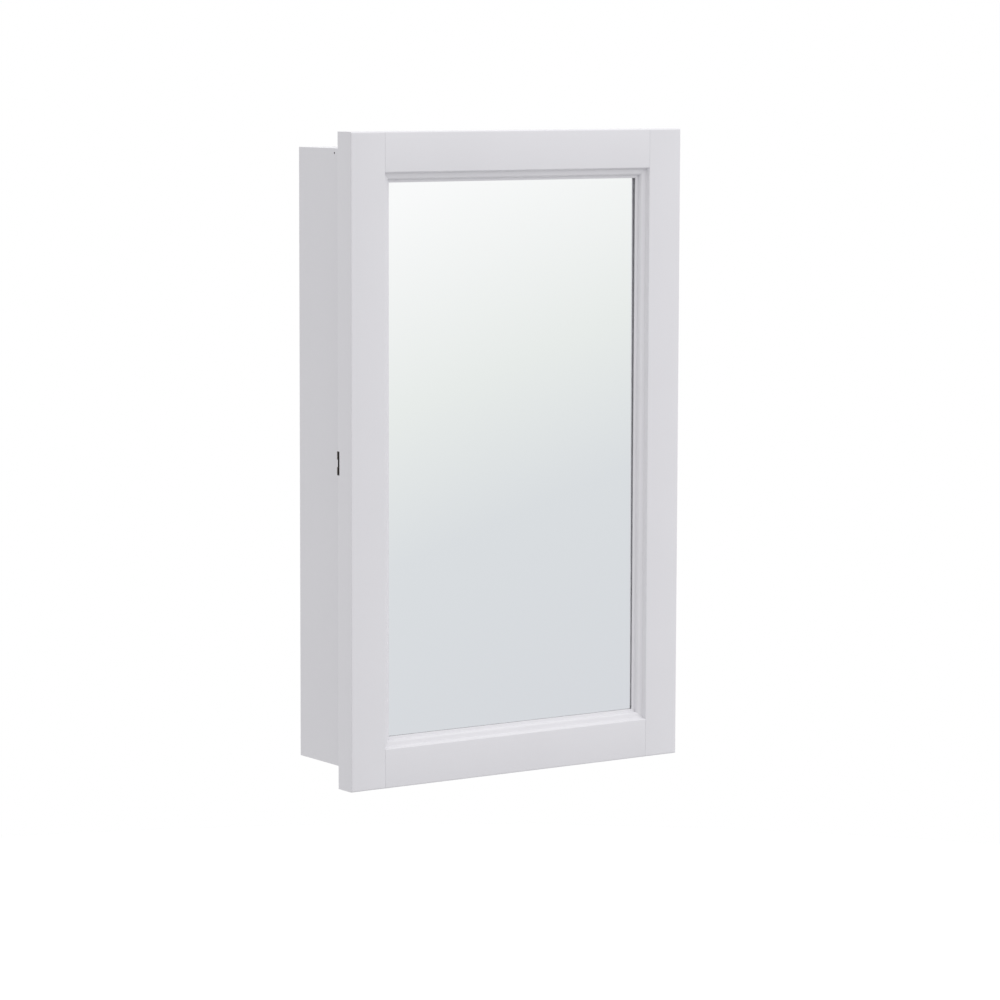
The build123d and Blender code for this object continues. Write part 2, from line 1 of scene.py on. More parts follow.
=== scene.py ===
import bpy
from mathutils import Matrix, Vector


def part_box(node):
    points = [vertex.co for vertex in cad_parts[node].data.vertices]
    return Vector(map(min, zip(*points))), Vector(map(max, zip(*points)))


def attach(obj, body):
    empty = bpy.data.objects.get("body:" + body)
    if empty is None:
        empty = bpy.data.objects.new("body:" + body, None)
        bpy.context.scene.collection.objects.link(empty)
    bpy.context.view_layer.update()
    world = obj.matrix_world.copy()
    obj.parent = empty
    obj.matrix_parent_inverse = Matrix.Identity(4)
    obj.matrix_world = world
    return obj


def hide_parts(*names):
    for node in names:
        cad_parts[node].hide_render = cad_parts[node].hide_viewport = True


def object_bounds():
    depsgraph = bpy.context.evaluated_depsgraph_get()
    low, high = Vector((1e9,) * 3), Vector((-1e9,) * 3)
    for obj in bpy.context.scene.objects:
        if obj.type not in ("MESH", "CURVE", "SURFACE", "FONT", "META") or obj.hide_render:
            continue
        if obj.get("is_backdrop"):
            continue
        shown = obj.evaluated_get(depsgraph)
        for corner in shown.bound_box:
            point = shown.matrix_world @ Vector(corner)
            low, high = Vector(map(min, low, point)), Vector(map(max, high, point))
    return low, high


bl_info = {
    "name": "Framed mirror cabinet",
    "version": (1, 0, 0),
    "blender": (4, 5, 0),
    "location": "View3D > Sidebar > Cabinet",
    "description": "Dresses a wall cabinet with a framed mirror door in paint, silver and plated metal",
    "category": "Object",
}

from math import cos, radians, sin

import bpy
import numpy as np
from bpy.props import FloatProperty, FloatVectorProperty, PointerProperty
from mathutils import Matrix, Vector

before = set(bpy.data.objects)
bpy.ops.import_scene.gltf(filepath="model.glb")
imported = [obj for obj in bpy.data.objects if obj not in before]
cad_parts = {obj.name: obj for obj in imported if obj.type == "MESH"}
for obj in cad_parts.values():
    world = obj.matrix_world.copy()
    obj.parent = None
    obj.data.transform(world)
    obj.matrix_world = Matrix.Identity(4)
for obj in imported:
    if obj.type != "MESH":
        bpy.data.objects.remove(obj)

MM = 0.001
WHITE = (1.0, 1.0, 1.0, 1.0)

# The construction's nodes, by what they are made of
DOOR_MEMBERS = ("latch_stile", "hinge_stile", "top_rail", "bottom_rail")
BEADS = ("bead_left", "bead_right", "bead_top", "bead_bottom")
CASE_UPRIGHTS = ("side_panel_left", "side_panel_right", "back_panel")
CASE_LEVELS = ("top_panel", "bottom_panel", "hanging_rail_upper", "hanging_rail_lower")
SHELVES = ("shelf_upper", "shelf_lower")
PEGS = ("shelf_pegs_upper", "shelf_pegs_lower")
HINGE_NODES = tuple(
    f"hinge_{end}_{piece}" for end in ("upper", "lower") for piece in ("case_leaf", "door_leaf", "pin")
)
SCREWS = ("hinge_case_screws", "hinge_door_screws", "catch_screws", "strike_screws", "edge_pull_screws")
NAILS = ("case_nails", "back_panel_brads", "bead_brads")

# How finely the new surfaces are divided
CORNER_STEPS = 5  # points round each corner of a section or a sheet
OVOLO_TURNS = (68, 45, 22)  # degrees of the ovolo's quarter at which its section has corners
END_RINGS = (0, 0.08, 0.25, 0.5, 0.75, 1.0, 2.0)  # distances from a member's end, in radii of its rounding
MIDDLE_RINGS = 9
MIDDLE_REACH = 0.98  # share of the way to the end rings that the middle rings take
SMOOTH_ANGLE = 35  # degrees between two faces past which their edge is sharp
MOST_ROUNDING = 0.49  # share of a corner's shorter side that its rounding may take

# Finish and edges that no user would change
CASE_SHADE = 0.99  # the case's paint against the door's
GLASS_SEAM = 0.3 * MM
GLASS_CORNER = 1.0 * MM

# The stage, in metres and degrees
FLOOR_RADIUS = 2.6
FLOOR_CORNERS = 96
LAMP_PLACE = (2.0, -2.2, 1.7)
LAMP_WIDTH = 2.2
CAMERA_PLACE = (-2.2417, -3.3622, 0.4062)
CAMERA_TURN = 34.43
CAMERA_DIP = 6.57
CAMERA_ROLL = 0.18
SENSOR_WIDTH = 36
SIGHT_END = 50

# What gloss sees of the studio: its colours lie along this direction, from the first value to the second
GLOSS_DIRECTION = (-0.51, 0.0, 1.0)
GLOSS_RANGE = (-0.47, -0.31)


def linear(hex_colour):
    """Linear RGB of an sRGB hex colour: (c + 0.055) / 1.055 to the power 2.4, or c / 12.92 near black."""
    value = np.array([int(hex_colour[i : i + 2], 16) for i in (1, 3, 5)]) / 255
    return tuple(np.where(value <= 0.04045, value / 12.92, ((value + 0.055) / 1.055) ** 2.4))


def colour(name, hex_colour, description):
    """A colour that a user may change."""
    return FloatVectorProperty(
        name=name, description=description, subtype="COLOR", size=3, min=0, max=1, default=linear(hex_colour)
    )


def length(name, millimetres, description):
    """A length that a user may change, kept in metres."""
    return FloatProperty(
        name=name, description=description, subtype="DISTANCE", unit="LENGTH", default=millimetres * MM
    )


class CabinetFinishes(bpy.types.PropertyGroup):
    """Colours of the finishes."""

    paint: colour("Paint", "#DEDDE1", "Sprayed satin enamel on door and case")
    silver: colour("Silver", "#F9FAFA", "What the mirror's silver sends back")
    nickel: colour("Nickel", "#B4B0A8", "Satin nickel plate on hinges, pegs and screws")
    bronze: colour("Bronze", "#38322D", "Dark lacquered pull")
    hardboard: colour("Hardboard", "#6E5138", "Bare board behind the mirror")


class CabinetSizes(bpy.types.PropertyGroup):
    """Sizes of the door frame's section and of what is softer than the construction shows."""

    face: length("Face", 40.0, "Flat width of a frame member, from its outer edge to the moulding")
    quirk: length("Quirk", 1.8, "Width of the steep step beside the face")
    quirk_depth: length("Quirk depth", 4.5, "Depth of the steep step")
    flat: length("Flat", 3.0, "Width of the narrow flat below the step")
    flat_fall: length("Flat's fall", 0.8, "How far the narrow flat falls")
    ovolo: length("Ovolo", 3.2, "Width of the rounded part")
    ovolo_depth: length("Ovolo depth", 4.2, "Depth of the rounded part")
    lip_fall: length("Lip's fall", 0.5, "How far the lip slopes to the mirror")
    lip: length("Lip", 1.4, "Thickness of the lip's edge")
    rebate: length("Rebate", 8.0, "Width of the rebate behind the lip")
    front_round: length("Front arris", 1.5, "Rounding of the door's front edges")
    back_round: length("Back arris", 0.8, "Rounding of the door's back edges")
    joint_round: length("Joint arris", 0.6, "Rounding on both sides of a joint line, softened by paint")
    paint_round: length("Paint rounding", 0.4, "Rounding that the paint leaves in the moulding's corners")
    silver_top: length("Silver at the top", 2.0, "How far behind the lip the silver seems to lie, at its top")
    silver_foot: length("Silver at the foot", 0.8, "The same at its foot, where the glass sits tighter")


class StudioSettings(bpy.types.PropertyGroup):
    """Light and camera."""

    sky: FloatProperty(name="Sky", description="Strength of the soft light from all round", default=1.34)
    key: FloatProperty(name="Key", description="Power of the large lamp", subtype="POWER", default=29.0)
    lens: FloatProperty(
        name="Lens", description="Focal length on a 36 mm sensor", subtype="DISTANCE_CAMERA", default=139.2
    )
    floor_drop: length("Floor drop", 600.0, "How far the floor lies below the cabinet, which hangs on a wall")


def settings():
    """The scene's three groups of values."""
    scene = bpy.context.scene
    return scene.cabinet_finishes, scene.cabinet_sizes, scene.cabinet_studio


def add(tree, kind, values=None, links=None, **options):
    """Adds a node, sets its options and socket values, and links its sockets from (node, output) pairs."""
    node = tree.nodes.new("ShaderNode" + kind)
    for key, value in options.items():
        setattr(node, key, value)
    for key, value in (values or {}).items():
        node.inputs[key].default_value = value
    for key, (source, output) in (links or {}).items():
        tree.links.new(source.outputs[output], node.inputs[key])
    return node


def new_material(name):
    """An empty node material, its node tree and its output node."""
    material = bpy.data.materials.new(name)
    material.use_nodes = True
    tree = material.node_tree
    tree.nodes.clear()
    return material, tree, add(tree, "OutputMaterial")


def rgba(colour_value, factor=1.0):
    """A colour times a factor, with alpha."""
    return (*[min(1.0, channel * factor) for channel in colour_value], 1.0)


def ramp(tree, source, stops, output=0):
    """A colour ramp over a source's output, from (position, colour) pairs."""
    node = add(tree, "ValToRGB", links={0: (source, output)})
    elements = node.color_ramp.elements
    while len(elements) < len(stops):
        elements.new(0.5)
    for element, (position, value) in zip(elements, stops):
        element.position = position
        element.color = value
    return node


def per(millimetres):
    """The scale that repeats a pattern once in a length."""
    return 1 / (millimetres * MM)


def along(axis, fine, coarse):
    """Mapping scales for a pattern that is fine across and coarse along one axis, both in millimetres."""
    scale = [per(fine)] * 3
    scale["xyz".index(axis)] = per(coarse)
    return scale


def sprayed_enamel(name, grain_axis, shade=1.0):
    """Satin enamel sprayed on sanded wood.

    The eye sees a slight orange peel, the wood's grain drawn faintly through the film, a tone that wanders a
    little over a hand's breadth, and a thin grey line in joints and hollows that is painted shade and dust.
    """
    finishes = settings()[0]
    material, tree, output = new_material(name)
    place = add(tree, "TexCoord")
    grain_place = add(tree, "Mapping", {"Scale": along(grain_axis, 1.6, 70)}, {"Vector": (place, "Object")})
    cloud = add(tree, "TexNoise", {"Scale": per(90), "Detail": 2}, {"Vector": (place, "Object")})
    peel = add(tree, "TexNoise", {"Scale": per(2.2), "Detail": 1}, {"Vector": (place, "Object")})
    grain = add(tree, "TexNoise", {"Scale": 1, "Detail": 3, "Roughness": 0.6}, {"Vector": (grain_place, 0)})
    thin, full = rgba(finishes.paint, shade * 0.985), rgba(finishes.paint, shade)
    tone = ramp(tree, cloud, [(0.3, thin), (0.7, full)])
    # Painted shade: ambient occlusion greys the paint in joints, corners and hollows, together with the dust
    # there
    corner = add(tree, "AmbientOcclusion", {"Distance": 7 * MM}, samples=8)
    dust_and_painted_shade = ramp(tree, corner, [(0.2, (0.72, 0.72, 0.74, 1)), (0.72, WHITE)], "AO")
    dusty_and_shaded = add(
        tree, "Mix", {"Factor": 1}, {6: (tone, 0), 7: (dust_and_painted_shade, 0)}, data_type="RGBA", blend_type="MULTIPLY"
    )
    sheen = add(tree, "MapRange", {"To Min": 0.36, "To Max": 0.46}, {"Value": (cloud, 0)})
    grain_bump = add(tree, "Bump", {"Strength": 0.10, "Distance": 0.05 * MM}, {"Height": (grain, 0)})
    bump = add(
        tree,
        "Bump",
        {"Strength": 0.12, "Distance": 0.04 * MM},
        {"Height": (peel, 0), "Normal": (grain_bump, 0)},
    )
    shader = add(
        tree,
        "BsdfPrincipled",
        {"IOR": 1.48, "Specular IOR Level": 0.4},
        {"Base Color": (dusty_and_shaded, 2), "Roughness": (sheen, 0), "Normal": (bump, 0)},
    )
    tree.links.new(shader.outputs[0], output.inputs[0])
    return material


def silvered_glass(name, half_width, half_height):
    """Float glass silvered on its back, seen as its silver.

    The eye sees a clean reflection, a hair cooler than what it shows, which greys in the last few
    millimetres where the silver stops short of the edge.
    """
    finishes = settings()[0]
    material, tree, output = new_material(name)
    place = add(tree, "TexCoord")
    parts = add(tree, "SeparateXYZ", links={0: (place, "Object")})
    edges = []
    for axis, half in (("X", half_width), ("Z", half_height)):
        size = add(tree, "Math", links={0: (parts, axis)}, operation="ABSOLUTE")
        edges.append(add(tree, "Math", {0: half}, {1: (size, 0)}, operation="SUBTRACT"))
    inset = add(tree, "Math", links={0: (edges[0], 0), 1: (edges[1], 0)}, operation="MINIMUM")
    share = add(tree, "MapRange", {"From Min": 0, "From Max": 12 * MM}, {"Value": (inset, 0)})
    clouds = add(tree, "TexNoise", {"Scale": per(160), "Detail": 2}, {"Vector": (place, "Object")})
    tint = ramp(tree, share, [(0.0, rgba(finishes.silver, 0.55)), (0.45, rgba(finishes.silver))])
    haze = add(tree, "MapRange", {"To Min": 0.0, "To Max": 0.02}, {"Value": (clouds, 0)})
    shader = add(tree, "BsdfPrincipled", {"Metallic": 1.0}, {"Base Color": (tint, 0), "Roughness": (haze, 0)})
    tree.links.new(shader.outputs[0], output.inputs[0])
    return material


def plated_metal(name, base, streak_axis, roughness=(0.22, 0.36)):
    """Stamped steel, brushed and then plated.

    The eye sees fine streaks along the brushing, a soft highlight, and faint clouding of the plate.
    """
    material, tree, output = new_material(name)
    place = add(tree, "TexCoord")
    brushing = add(tree, "Mapping", {"Scale": along(streak_axis, 0.35, 14)}, {"Vector": (place, "Object")})
    streaks = add(tree, "TexNoise", {"Scale": 1, "Detail": 4, "Roughness": 0.65}, {"Vector": (brushing, 0)})
    clouds = add(tree, "TexNoise", {"Scale": per(9), "Detail": 2}, {"Vector": (place, "Object")})
    tone = ramp(tree, clouds, [(0.3, rgba(base, 0.86)), (0.7, rgba(base))])
    polish = add(tree, "MapRange", {"To Min": roughness[0], "To Max": roughness[1]}, {"Value": (streaks, 0)})
    bump = add(tree, "Bump", {"Strength": 0.15, "Distance": 0.03 * MM}, {"Height": (streaks, 0)})
    shader = add(
        tree,
        "BsdfPrincipled",
        {"Metallic": 1.0},
        {"Base Color": (tone, 0), "Roughness": (polish, 0), "Normal": (bump, 0)},
    )
    tree.links.new(shader.outputs[0], output.inputs[0])
    return material


def lacquered_bronze(name):
    """Steel stamping under dark bronze lacquer, rubbed a little paler where fingers reach it."""
    finishes = settings()[0]
    material, tree, output = new_material(name)
    place = add(tree, "TexCoord")
    clouds = add(tree, "TexNoise", {"Scale": per(3), "Detail": 4}, {"Vector": (place, "Object")})
    grit = add(tree, "TexNoise", {"Scale": per(0.5), "Detail": 2}, {"Vector": (place, "Object")})
    tone = ramp(tree, clouds, [(0.35, rgba(finishes.bronze)), (0.75, rgba(finishes.bronze, 1.7))])
    polish = add(tree, "MapRange", {"To Min": 0.38, "To Max": 0.58}, {"Value": (clouds, 0)})
    bump = add(tree, "Bump", {"Strength": 0.2, "Distance": 0.03 * MM}, {"Height": (grit, 0)})
    shader = add(
        tree,
        "BsdfPrincipled",
        {"Metallic": 0.45},
        {"Base Color": (tone, 0), "Roughness": (polish, 0), "Normal": (bump, 0)},
    )
    tree.links.new(shader.outputs[0], output.inputs[0])
    return material


def pressed_hardboard(name):
    """Wet-pressed hardboard, bare: brown felted fibre with the weave of the press screen on its back."""
    finishes = settings()[0]
    material, tree, output = new_material(name)
    place = add(tree, "TexCoord")
    fibre = add(
        tree, "TexNoise", {"Scale": per(2.5), "Detail": 6, "Roughness": 0.7}, {"Vector": (place, "Object")}
    )
    parts = add(tree, "SeparateXYZ", links={0: (place, "Object")})
    wires = []
    for axis in ("X", "Z"):
        turn = add(tree, "Math", {1: 2 * np.pi * per(2.4)}, {0: (parts, axis)}, operation="MULTIPLY")
        wires.append(add(tree, "Math", links={0: (turn, 0)}, operation="SINE"))
    screen = add(tree, "Math", links={0: (wires[0], 0), 1: (wires[1], 0)}, operation="MAXIMUM")
    dark, middle, pale = (rgba(finishes.hardboard, factor) for factor in (0.7, 1.0, 1.3))
    tone = ramp(tree, fibre, [(0.3, dark), (0.52, middle), (0.75, pale)])
    screen_bump = add(tree, "Bump", {"Strength": 0.35, "Distance": 0.15 * MM}, {"Height": (screen, 0)})
    bump = add(
        tree,
        "Bump",
        {"Strength": 0.3, "Distance": 0.1 * MM},
        {"Height": (fibre, 0), "Normal": (screen_bump, 0)},
    )
    shader = add(tree, "BsdfPrincipled", {"Roughness": 0.86}, {"Base Color": (tone, 0), "Normal": (bump, 0)})
    tree.links.new(shader.outputs[0], output.inputs[0])
    return material


def turned_beech(name):
    """Beech dowel: pink-brown with short darker flecks along the grain."""
    material, tree, output = new_material(name)
    place = add(tree, "TexCoord")
    grain_place = add(tree, "Mapping", {"Scale": along("x", 0.7, 12)}, {"Vector": (place, "Object")})
    grain = add(tree, "TexNoise", {"Scale": 1, "Detail": 5, "Roughness": 0.6}, {"Vector": (grain_place, 0)})
    tone = ramp(tree, grain, [(0.35, (*linear("#A87C52"), 1)), (0.7, (*linear("#C79A6C"), 1))])
    bump = add(tree, "Bump", {"Strength": 0.2, "Distance": 0.05 * MM}, {"Height": (grain, 0)})
    shader = add(tree, "BsdfPrincipled", {"Roughness": 0.6}, {"Base Color": (tone, 0), "Normal": (bump, 0)})
    tree.links.new(shader.outputs[0], output.inputs[0])
    return material


def moulded_plastic(name, hex_colour, gloss):
    """Moulded plastic with a fine spark-eroded texture and a slightly uneven tone.

    Pressed ferrite has the same look, only darker and duller.
    """
    material, tree, output = new_material(name)
    place = add(tree, "TexCoord")
    grit = add(tree, "TexNoise", {"Scale": per(0.45), "Detail": 2}, {"Vector": (place, "Object")})
    clouds = add(tree, "TexNoise", {"Scale": per(12)}, {"Vector": (place, "Object")})
    base = linear(hex_colour)
    tone = ramp(tree, clouds, [(0.3, rgba(base, 0.93)), (0.7, rgba(base))])
    polish = add(tree, "MapRange", {"To Min": gloss, "To Max": gloss + 0.12}, {"Value": (grit, 0)})
    bump = add(tree, "Bump", {"Strength": 0.25, "Distance": 0.02 * MM}, {"Height": (grit, 0)})
    shader = add(
        tree,
        "BsdfPrincipled",
        {"IOR": 1.5},
        {"Base Color": (tone, 0), "Roughness": (polish, 0), "Normal": (bump, 0)},
    )
    tree.links.new(shader.outputs[0], output.inputs[0])
    return material


def cast_urethane(name):
    """Cast polyurethane bumper: milky, slightly clear, with a tacky sheen."""
    material, tree, output = new_material(name)
    place = add(tree, "TexCoord")
    clouds = add(tree, "TexNoise", {"Scale": per(2), "Detail": 2}, {"Vector": (place, "Object")})
    tone = ramp(tree, clouds, [(0.3, (*linear("#D2D6D6"), 1)), (0.7, (*linear("#E6E9E9"), 1))])
    polish = add(tree, "MapRange", {"To Min": 0.18, "To Max": 0.3}, {"Value": (clouds, 0)})
    shader = add(
        tree,
        "BsdfPrincipled",
        {"IOR": 1.5, "Transmission Weight": 0.35},
        {"Base Color": (tone, 0), "Roughness": (polish, 0)},
    )
    tree.links.new(shader.outputs[0], output.inputs[0])
    return material


def finished_mesh(name, points, faces, material):
    """A mesh object from points and blocks of faces, turned outward, smooth but for its sharp edges."""
    mesh = bpy.data.meshes.new(name)
    mesh.from_pydata(points.reshape(-1, 3), [], [tuple(face) for block in faces for face in block])
    mesh.update()
    piece = bpy.data.objects.new(name, mesh)
    bpy.context.collection.objects.link(piece)
    bpy.context.view_layer.objects.active = piece
    piece.select_set(True)
    bpy.ops.object.mode_set(mode="EDIT")
    bpy.ops.mesh.select_all(action="SELECT")
    bpy.ops.mesh.normals_make_consistent(inside=False)
    bpy.ops.object.mode_set(mode="OBJECT")
    piece.select_set(False)
    mesh.polygons.foreach_set("use_smooth", np.ones(len(mesh.polygons), bool))
    mesh.set_sharp_from_angle(angle=radians(SMOOTH_ANGLE))
    mesh.materials.append(material)
    return piece


def tube_faces(rings, sides, cap=None):
    """Quads between closed rings of points, and over either end one face or the given blocks of faces."""
    ring, side = np.meshgrid(np.arange(rings - 1), np.arange(sides), indexing="ij")
    this, after = ring * sides + side, ring * sides + (side + 1) % sides
    quads = np.stack([this, after, after + sides, this + sides], -1)
    cap = cap or [np.arange(sides)[None]]
    first = [block[:, ::-1] for block in cap]
    last = [block + (rings - 1) * sides for block in cap]
    return [quads.reshape(-1, 4), *first, *last]


def coped_cap(corner_count, edge_count, moulding_count, rebate_count):
    """Faces over a rail's end, as blocks of indices into its outline.

    The cope is straight from the outer side to the moulding, so one quad joins each two neighbouring depths.
    A face lies before them, one behind them, and a quad steps from the lip's depth to the rebate's wall.
    """
    outer = corner_count + 1 + np.arange(edge_count)
    wall = outer[-1] + 1 + corner_count + moulding_count
    inner = wall - 1 - np.arange(edge_count)
    strip = np.stack([outer[:-1], outer[1:], inner[1:], inner[:-1]], 1)
    step = np.array([[corner_count, outer[0], inner[0], wall]])
    front = np.arange(outer[-1], inner[-1] + 1)[None]
    back = np.concatenate([np.arange(wall, wall + rebate_count), np.arange(corner_count + 1)])[None]
    return [strip, step, front, back]


def rounded(corners, radii, steps=CORNER_STEPS):
    """A closed outline with each corner rounded, by a number of points.

    Between a point one radius before the corner and one a radius past it the outline is the quadratic
    curve (1 - t)^2 A + 2 t (1 - t) C + t^2 B, with the corner as C.
    """
    corners = np.asarray(corners, float)
    before, after = np.roll(corners, 1, 0) - corners, np.roll(corners, -1, 0) - corners
    sizes = np.linalg.norm(before, axis=1), np.linalg.norm(after, axis=1)
    reach = np.minimum(np.asarray(radii, float), MOST_ROUNDING * np.minimum(*sizes))[:, None]
    a, b = corners + before / sizes[0][:, None] * reach, corners + after / sizes[1][:, None] * reach
    t = np.linspace(0, 1, steps)[None, :, None]
    curve = (1 - t) ** 2 * a[:, None] + 2 * t * (1 - t) * corners[:, None] + t**2 * b[:, None]
    return curve.reshape(-1, 2)


def member_outline(sizes, thickness):
    """A frame member's section as (inset, depth) points.

    They come in four runs: the back corner, the front corner, the moulding and the rebate. The flat face, the
    quirk, the narrow flat, the ovolo, the lip and the rebate follow the construction, with every corner
    softened as paint softens it. The ovolo is the quarter ellipse of its two sizes.
    """
    foot = sizes.face + sizes.quirk
    flat_end = foot + sizes.flat
    ovolo_end = flat_end + sizes.ovolo
    flat_depth = sizes.quirk_depth + sizes.flat_fall
    ovolo_depth = flat_depth + sizes.ovolo_depth
    width = member_width()
    mirror = mirror_depth(sizes)
    wall = width - sizes.rebate
    turn = np.radians(OVOLO_TURNS)
    arc = np.stack([flat_end + sizes.ovolo * np.cos(turn), ovolo_depth - sizes.ovolo_depth * np.sin(turn)], 1)
    soft = sizes.paint_round
    corners = [
        (0, thickness, sizes.back_round),
        (0, 0, sizes.front_round),
        (sizes.face, 0, sizes.joint_round),
        (foot, sizes.quirk_depth, soft),
        (flat_end, flat_depth, soft),
        *[(x, y, soft * 2) for x, y in arc],
        (ovolo_end, ovolo_depth, soft),
        (width, ovolo_depth + sizes.lip_fall, soft),
        (width, mirror, soft / 2),
        (wall, mirror, soft / 4),
        (wall, thickness, soft / 2),
    ]
    corners = np.array(corners)
    outline = rounded(corners[:, :2], corners[:, 2])
    return np.split(outline, [CORNER_STEPS, 2 * CORNER_STEPS, -2 * CORNER_STEPS])


def member_width():
    """Full width of a frame member."""
    low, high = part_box("latch_stile")
    return high[0] - low[0]


def mirror_depth(sizes):
    """How far the mirror's glass lies behind the door's front."""
    return sizes.quirk_depth + sizes.flat_fall + sizes.ovolo_depth + sizes.lip_fall + sizes.lip


def frame_member(name, material, stile):
    """One member of the door frame as its section carried along its length.

    A stile runs the door's full height. A rail is coped: at each depth it stops at the inset where the
    stile's section has its surface at that depth, so their mouldings meet as on a mitre. For that, a rail's
    outer side has a point at each depth of the moulding. Near an end, at a distance s from it, depth is held
    between r - sqrt(r^2 - (r - s)^2) and the same from the back, which rounds the end's arrises.
    """
    sizes = settings()[1]
    low, high = (np.array(corner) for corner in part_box(name))
    door_low, door_high = door_box()
    thickness = high[1] - low[1]
    back_corner, front_corner, moulding, rebate = member_outline(sizes, thickness)
    if stile:
        cap = None
        outline = np.concatenate([back_corner, front_corner, moulding, rebate])
        trim = np.zeros(len(outline))
        half, rounds = door_high[2], (sizes.front_round, sizes.back_round)
    else:
        edge = moulding[::-1][moulding[::-1, 1] > sizes.front_round] * (0, 1)
        outline = np.concatenate([back_corner, edge[:1], edge, front_corner, moulding, rebate])
        trim = np.maximum(np.interp(outline[:, 1], moulding[:, 1], moulding[:, 0]), sizes.face)
        trim[: len(back_corner) + 1] = trim[-len(rebate) :] = rebate[-1, 0]
        cap = coped_cap(len(back_corner), len(edge), len(moulding), len(rebate))
        half, rounds = door_high[0], (sizes.joint_round, sizes.paint_round)
    inset, depth = outline.T
    near = np.array(END_RINGS) * rounds[0]
    ends = half - trim - near[:, None]
    middle = np.linspace(MIDDLE_REACH, -MIDDLE_REACH, MIDDLE_RINGS)[:, None] * ends[-1]
    run = np.concatenate([ends, middle, -ends[::-1]])
    from_end = np.concatenate([near, np.full(len(middle), half), near[::-1]])[:, None]
    fall = [r - np.sqrt(r**2 - np.maximum(r - from_end, 0) ** 2) for r in rounds]
    points = np.empty((*run.shape, 3))
    across, length_axis = (0, 2) if stile else (2, 0)
    outer_low = abs(low[across]) > abs(high[across])
    points[..., across] = low[across] + inset if outer_low else high[across] - inset
    points[..., 1] = door_low[1] + np.clip(depth, fall[0], thickness - fall[1])
    points[..., length_axis] = run
    piece = finished_mesh(f"painted_{name}", points, tube_faces(*run.shape, cap), material)
    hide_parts(name)
    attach(piece, "door")


def door_box():
    """Lowest and highest corner of the door's four members."""
    corners = np.array([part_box(name) for name in DOOR_MEMBERS])
    return corners[:, 0].min(0), corners[:, 1].max(0)


def leaning_sheet(name, low, high, depths, edge, corner, material, steps=5, margin=2.5):
    """A sheet of glass in the X-Z plane with seamed edges, whose front leans back from its foot to its top.

    Its outline is a rounded rectangle drawn in by edge (1 - sin a) while Y runs from the front face to the
    back by the same quarter turn at either face, as a belt leaves the edge of glass. The front lies behind
    the box's front by the foot's depth, and by more in proportion to the height, up to the top's depth. Each
    flat face has a margin, so many edges wide, that keeps the seam's shading off the rest.
    """
    half = np.array([high[0] - low[0], high[2] - low[2]]) / 2
    centre = np.array([high[0] + low[0], high[2] + low[2]]) / 2
    square = np.array([(-1, -1), (1, -1), (1, 1), (-1, 1)], float)
    turn = np.linspace(0, np.pi / 2, steps)
    seam, flat = edge * (1 - np.sin(turn)), [margin * edge]
    drawn_in = np.concatenate([flat, seam, seam[::-1], flat])
    forward = edge * (1 - np.cos(turn))
    rings = np.stack([rounded(square * (half - inset), np.full(4, corner)) for inset in drawn_in])
    front = low[1] + np.interp(rings[..., 1], (-half[1], half[1]), depths)
    points = np.empty((*rings.shape[:2], 3))
    points[..., 0] = rings[..., 0] + centre[0]
    points[: steps + 1, :, 1] = front[: steps + 1] + np.concatenate([[0], forward])[:, None]
    points[steps + 1 :, :, 1] = high[1] - np.concatenate([forward[::-1], [0]])[:, None]
    points[..., 2] = rings[..., 1] + centre[1]
    return finished_mesh(name, points, tube_faces(*rings.shape[:2]), material)


def domes(name, places, radius, height, material, turns=32, steps=8, crown=0.92, power=0.45):
    """Round bumpers in one mesh.

    Each is a profile turned about Y, over an angle a from 0 to a share of a quarter turn, the crown. Its
    radius is the bumper's times cos a to a power, which gives it a full shoulder, and its height is the
    bumper's times sin a over the last sin a. The crown is flat.
    """
    angle = np.linspace(0, np.pi / 2 * crown, steps)
    ring_radius = radius * np.cos(angle) ** power
    ring_height = height * np.sin(angle) / np.sin(angle[-1])
    turn = np.linspace(0, 2 * np.pi, turns, endpoint=False)
    points = np.empty((len(places), steps, turns, 3))
    points[..., 0] = ring_radius[:, None] * np.cos(turn)
    points[..., 1] = np.broadcast_to(ring_height[:, None], (steps, turns))
    points[..., 2] = ring_radius[:, None] * np.sin(turn)
    points += np.array(places)[:, None, None]
    blocks = tube_faces(steps, turns)
    faces = [block + index * steps * turns for index in range(len(places)) for block in blocks]
    return finished_mesh(name, points, faces, material)


def dress(names, material):
    """Gives CAD nodes a material in every slot."""
    for name in names:
        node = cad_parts[name]
        if not node.material_slots:
            node.data.materials.append(material)
        for place in node.material_slots:
            place.link = "OBJECT"
            place.material = material


class CABINET_OT_door_frame(bpy.types.Operator):
    """Builds the painted stiles and rails with their moulding."""

    bl_idname = "cabinet.door_frame"
    bl_label = "Door frame"

    def execute(self, context):
        upright = sprayed_enamel("sprayed_enamel_upright", "z")
        level = sprayed_enamel("sprayed_enamel_level", "x")
        for name in DOOR_MEMBERS:
            stile = name.endswith("stile")
            frame_member(name, upright if stile else level, stile)
        dress(BEADS[:2], upright)
        dress(BEADS[2:], level)
        dress(["frame_dowels"], turned_beech("turned_beech"))
        return {"FINISHED"}


class CABINET_OT_mirror(bpy.types.Operator):
    """Builds the silvered glass and its backing board."""

    bl_idname = "cabinet.mirror"
    bl_label = "Mirror"

    def execute(self, context):
        sizes = settings()[1]
        low, high = (np.array(corner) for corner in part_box("mirror_glass"))
        glass = silvered_glass("silvered_glass", high[0], high[2])
        depths = sizes.silver_foot, sizes.silver_top
        mirror = leaning_sheet("silvered_mirror", low, high, depths, GLASS_SEAM, GLASS_CORNER, glass)
        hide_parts("mirror_glass")
        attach(mirror, "door")
        dress(["mirror_backing"], pressed_hardboard("pressed_hardboard"))
        return {"FINISHED"}


